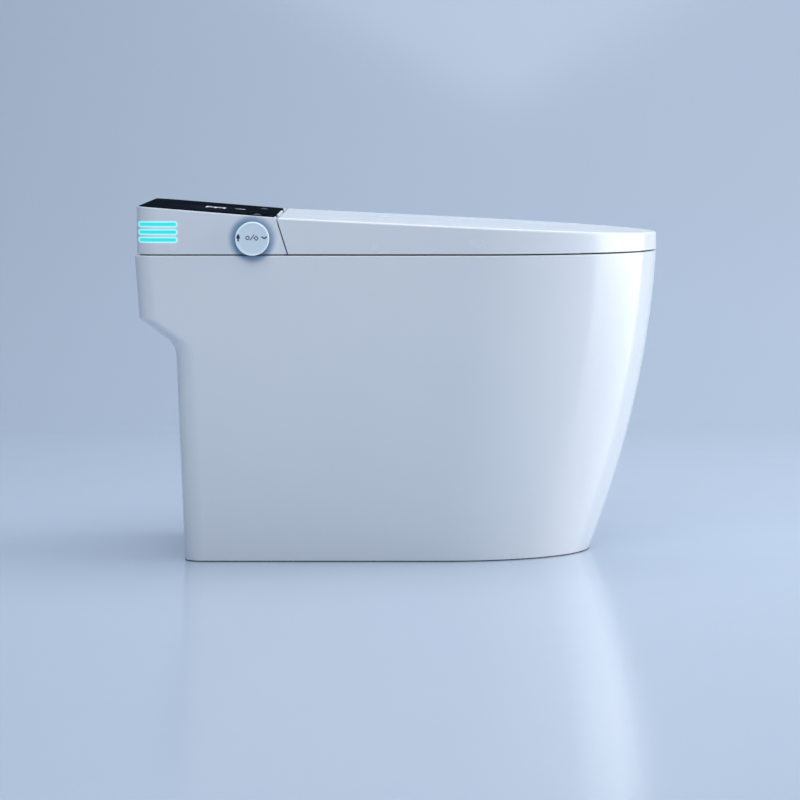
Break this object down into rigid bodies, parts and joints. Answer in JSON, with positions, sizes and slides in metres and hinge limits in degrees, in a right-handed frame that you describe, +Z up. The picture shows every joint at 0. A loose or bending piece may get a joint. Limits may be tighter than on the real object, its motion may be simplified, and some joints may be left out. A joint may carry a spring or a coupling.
{
  "type": "smart toilet with heated seat",
  "caption": "Floor-standing skirted toilet with a flat full-cover lid, heated seat, sliding bidet nozzles, dryer and a lit side knob on its black-topped rear housing.",
  "frame": {"origin": "centre of the floor outlet, on the floor", "axes": "+X to the front of the bowl, +Z up, the control knob is on the -Y side"},
  "size_m": [0.6999, 0.3947, 0.4747],
  "materials": {
    "black_arm": "gloss",
    "black_gloss": "high gloss",
    "black_plastic": "moulded",
    "brass_fitting": "turned",
    "circuit_board": "lacquered",
    "clear_tank": "moulded",
    "filter_grey": "moulded",
    "gear_white": "moulded",
    "glazed_ceramic": "glazed",
    "grey_plastic": "moulded",
    "heating_mat": "foil",
    "hose_rubber": "matt",
    "knob_white": "satin gloss",
    "light_bar": "lit from behind",
    "light_ring": "lit from behind",
    "motor_steel": "plated",
    "rubber_black": "matt",
    "rubber_grey": "matt",
    "seat_white": "gloss",
    "steel": "brushed",
    "wand_white": "gloss",
    "white_shell": "gloss"
  },
  "bodies": {
    "root": {"base_plate": "grey_plastic", "blower_case": "black_plastic", "blower_motor": "motor_steel", "ceramic_body": "glazed_ceramic", "ceramic_bowl": "glazed_ceramic", "ceramic_overhang": "glazed_ceramic", "chassis_bolts": "steel", "chassis_sleeves": "rubber_black", "control_board": "circuit_board", "cord_gland": "rubber_black", "dryer_duct": "black_plastic", "dryer_element": "heating_mat", "filter_cradle": "grey_plastic", "flush_hose": "hose_rubber", "flush_pump": "grey_plastic", "flush_tank": "clear_tank", "hinge_brackets": "steel", "hinge_shafts": "steel", "inlet_connector": "brass_fitting", "inlet_filter": "steel", "inlet_pipe": "hose_rubber", "inlet_valve": "grey_plastic", "knob_encoder": "black_plastic", "knob_light_ring": "light_ring", "led_board": "circuit_board", "lid_damper": "black_plastic", "light_bars": "light_bar", "nozzle_guide": "grey_plastic", "outlet_adapter": "grey_plastic", "outlet_seal": "rubber_black", "power_supply": "motor_steel", "pump_motor": "motor_steel", "rear_housing": "white_shell", "rim_jet": "grey_plastic", "seat_damper": "black_plastic", "service_collars": "rubber_grey", "top_panel": "black_gloss", "wand_motors": "motor_steel", "wash_diverter": "black_plastic", "water_heater": "grey_plastic"},
    "seat": {"seat_top": "seat_white", "seat_base": "seat_white", "seat_heater": "heating_mat", "seat_bumpers": "rubber_grey", "seat_arms": "black_arm"},
    "lid": {"lid_shell": "white_shell", "lid_arms": "black_arm", "lid_bumpers": "rubber_grey"},
    "knob_core": {"knob_stem": "steel"},
    "knob": {"control_knob": "knob_white"},
    "rear_wand": {"rear_wand": "wand_white", "rear_nozzle_tip": "steel"},
    "front_wand": {"front_wand": "wand_white", "front_nozzle_tip": "steel"},
    "rear_pinion": {"rear_pinion": "gear_white"},
    "front_pinion": {"front_pinion": "gear_white"},
    "blower_wheel": {"blower_wheel": "gear_white"},
    "deodoriser_fan": {"deodoriser_fan": "black_plastic"},
    "dryer_flap": {"dryer_flap": "wand_white"},
    "filter": {"filter_cartridge": "filter_grey"}
  },
  "joints": [
    {"name": "seat_hinge", "type": "hinge", "parent": "root", "child": "seat", "pos_m": [-0.09221, 0, 0.45096], "axis": [0, 1, 0], "range_deg": [-95, 0]},
    {"name": "lid_hinge", "type": "hinge", "parent": "seat", "child": "lid", "pos_m": [-0.09221, 0, 0.45096], "axis": [0, -1, 0], "range_deg": [0, 100]},
    {"name": "knob_push", "type": "slide", "parent": "root", "child": "knob_core", "axis": [0, 1, 0], "range_m": [0, 0.0015], "stiffness_N_per_m": 600},
    {"name": "knob_turn", "type": "hinge", "parent": "knob_core", "child": "knob", "pos_m": [-0.0935, -0.196, 0.4326], "axis": [0, -1, 0], "continuous": true},
    {"name": "rear_wand_slide", "type": "slide", "parent": "root", "child": "rear_wand", "axis": [0.9781, 0, -0.2079], "range_m": [0, 0.105]},
    {"name": "front_wand_slide", "type": "slide", "parent": "root", "child": "front_wand", "axis": [0.9781, 0, -0.2079], "range_m": [0, 0.105]},
    {"name": "rear_pinion_spin", "type": "hinge", "parent": "root", "child": "rear_pinion", "pos_m": [-0.07747, -0.012, 0.41947], "axis": [0, -1, 0], "range_deg": [0, 1150]},
    {"name": "front_pinion_spin", "type": "hinge", "parent": "root", "child": "front_pinion", "pos_m": [-0.07747, 0.012, 0.41947], "axis": [0, -1, 0], "range_deg": [0, 1150]},
    {"name": "blower_spin", "type": "hinge", "parent": "root", "child": "blower_wheel", "pos_m": [-0.152, 0.084, 0.426], "axis": [0, 0, 1], "continuous": true},
    {"name": "deodoriser_spin", "type": "hinge", "parent": "root", "child": "deodoriser_fan", "pos_m": [-0.2, 0.122, 0.434], "axis": [0, 1, 0], "continuous": true},
    {"name": "dryer_flap_hinge", "type": "hinge", "parent": "root", "child": "dryer_flap", "pos_m": [-0.01245, 0.061, 0.4008], "axis": [0, -1, 0], "range_deg": [0, 70]},
    {"name": "filter_slide", "type": "slide", "parent": "root", "child": "filter", "axis": [0, 1, 0], "range_m": [0, 0.07]}
  ],
  "couplings": [
    {"joint": "rear_pinion_spin", "follows": "rear_wand_slide", "rad_per_m": 178.57},
    {"joint": "front_pinion_spin", "follows": "front_wand_slide", "rad_per_m": 178.57}
  ]
}
